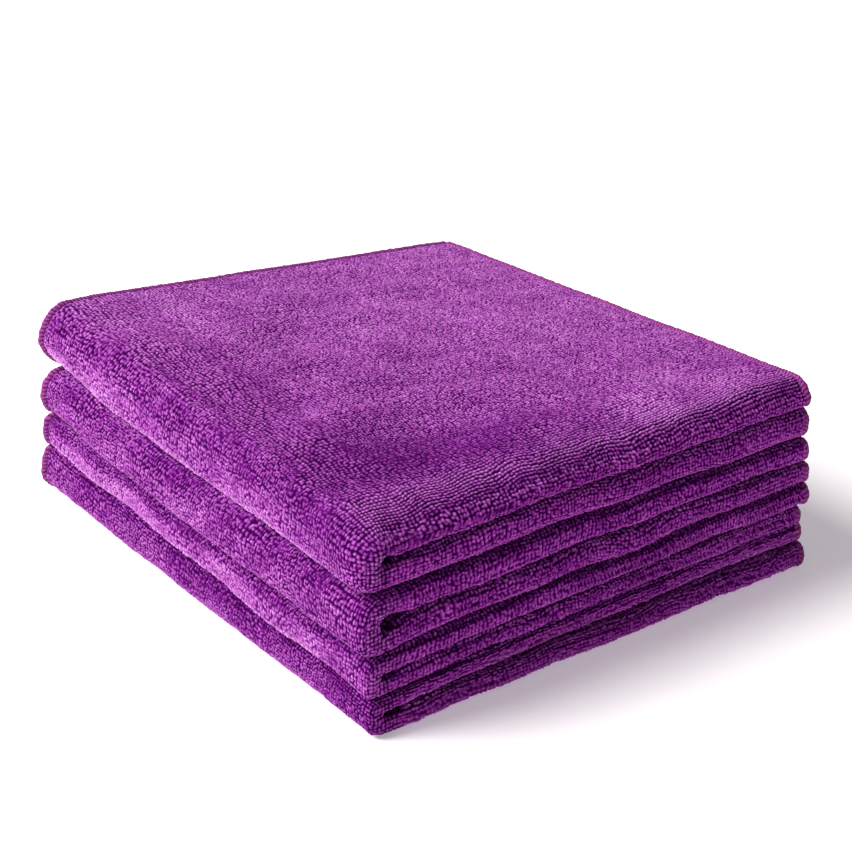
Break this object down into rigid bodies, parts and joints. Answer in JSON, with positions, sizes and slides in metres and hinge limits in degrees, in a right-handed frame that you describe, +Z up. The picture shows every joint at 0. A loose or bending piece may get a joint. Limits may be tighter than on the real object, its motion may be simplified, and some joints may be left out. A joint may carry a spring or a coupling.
{
  "type": "folded quick dry towel stack",
  "caption": "Stack of quick dry terry towels, each folded in quarters with overlocked edges, that open at the spine fold and lift off one by one.",
  "frame": {"origin": "middle of the footprint, on the surface that the stack lies on", "axes": "+Z up through the stack; -Y faces the rounded spine folds, +Y the free end edges, +X the first folds, -X the free side edges"},
  "size_m": [0.212, 0.187, 0.0774],
  "materials": {
    "terry": "looped terry pile",
    "overlock_thread": "overlock stitched edging"
  },
  "bodies": {
    "bottom_towel_lower": {"bottom_towel_lower_leaf": "terry", "bottom_towel_spine": "terry", "bottom_towel_lower_end_hem": "overlock_thread", "bottom_towel_lower_side_hem": "overlock_thread", "bottom_towel_spine_hem": "overlock_thread"},
    "bottom_towel_upper": {"bottom_towel_upper_leaf": "terry", "bottom_towel_upper_end_hem": "overlock_thread", "bottom_towel_upper_side_hem": "overlock_thread"},
    "third_towel_lower": {"third_towel_lower_leaf": "terry", "third_towel_spine": "terry", "third_towel_lower_end_hem": "overlock_thread", "third_towel_lower_side_hem": "overlock_thread", "third_towel_spine_hem": "overlock_thread"},
    "third_towel_upper": {"third_towel_upper_leaf": "terry", "third_towel_upper_end_hem": "overlock_thread", "third_towel_upper_side_hem": "overlock_thread"},
    "second_towel_lower": {"second_towel_lower_leaf": "terry", "second_towel_spine": "terry", "second_towel_lower_end_hem": "overlock_thread", "second_towel_lower_side_hem": "overlock_thread", "second_towel_spine_hem": "overlock_thread"},
    "second_towel_upper": {"second_towel_upper_leaf": "terry", "second_towel_upper_end_hem": "overlock_thread", "second_towel_upper_side_hem": "overlock_thread"},
    "top_towel_lower": {"top_towel_lower_leaf": "terry", "top_towel_spine": "terry", "top_towel_lower_end_hem": "overlock_thread", "top_towel_lower_side_hem": "overlock_thread", "top_towel_spine_hem": "overlock_thread"},
    "top_towel_upper": {"top_towel_upper_leaf": "terry", "top_towel_upper_end_hem": "overlock_thread", "top_towel_upper_side_hem": "overlock_thread"}
  },
  "joints": [
    {"name": "bottom_towel_open", "type": "hinge", "parent": "bottom_towel_lower", "child": "bottom_towel_upper", "pos_m": [0, -0.08475, 0.00865], "axis": [1, 0, 0], "range_deg": [0, 15], "deforming": ["bottom_towel_spine", "bottom_towel_spine_hem"]},
    {"name": "third_towel_lift", "type": "slide", "parent": "bottom_towel_upper", "child": "third_towel_lower", "axis": [0, 0, 1], "range_m": [0, 0.1]},
    {"name": "third_towel_open", "type": "hinge", "parent": "third_towel_lower", "child": "third_towel_upper", "pos_m": [0, -0.08615, 0.02505], "axis": [1, 0, 0], "range_deg": [0, 15], "deforming": ["third_towel_spine", "third_towel_spine_hem"]},
    {"name": "second_towel_lift", "type": "slide", "parent": "third_towel_upper", "child": "second_towel_lower", "axis": [0, 0, 1], "range_m": [0, 0.1]},
    {"name": "second_towel_open", "type": "hinge", "parent": "second_towel_lower", "child": "second_towel_upper", "pos_m": [0, -0.08365, 0.04255], "axis": [1, 0, 0], "range_deg": [0, 15], "deforming": ["second_towel_spine", "second_towel_spine_hem"]},
    {"name": "top_towel_lift", "type": "slide", "parent": "second_towel_upper", "child": "top_towel_lower", "axis": [0, 0, 1], "range_m": [0, 0.1]},
    {"name": "top_towel_open", "type": "hinge", "parent": "top_towel_lower", "child": "top_towel_upper", "pos_m": [0, -0.08115, 0.06505], "axis": [1, 0, 0], "range_deg": [0, 178], "deforming": ["top_towel_spine", "top_towel_spine_hem"]}
  ]
}
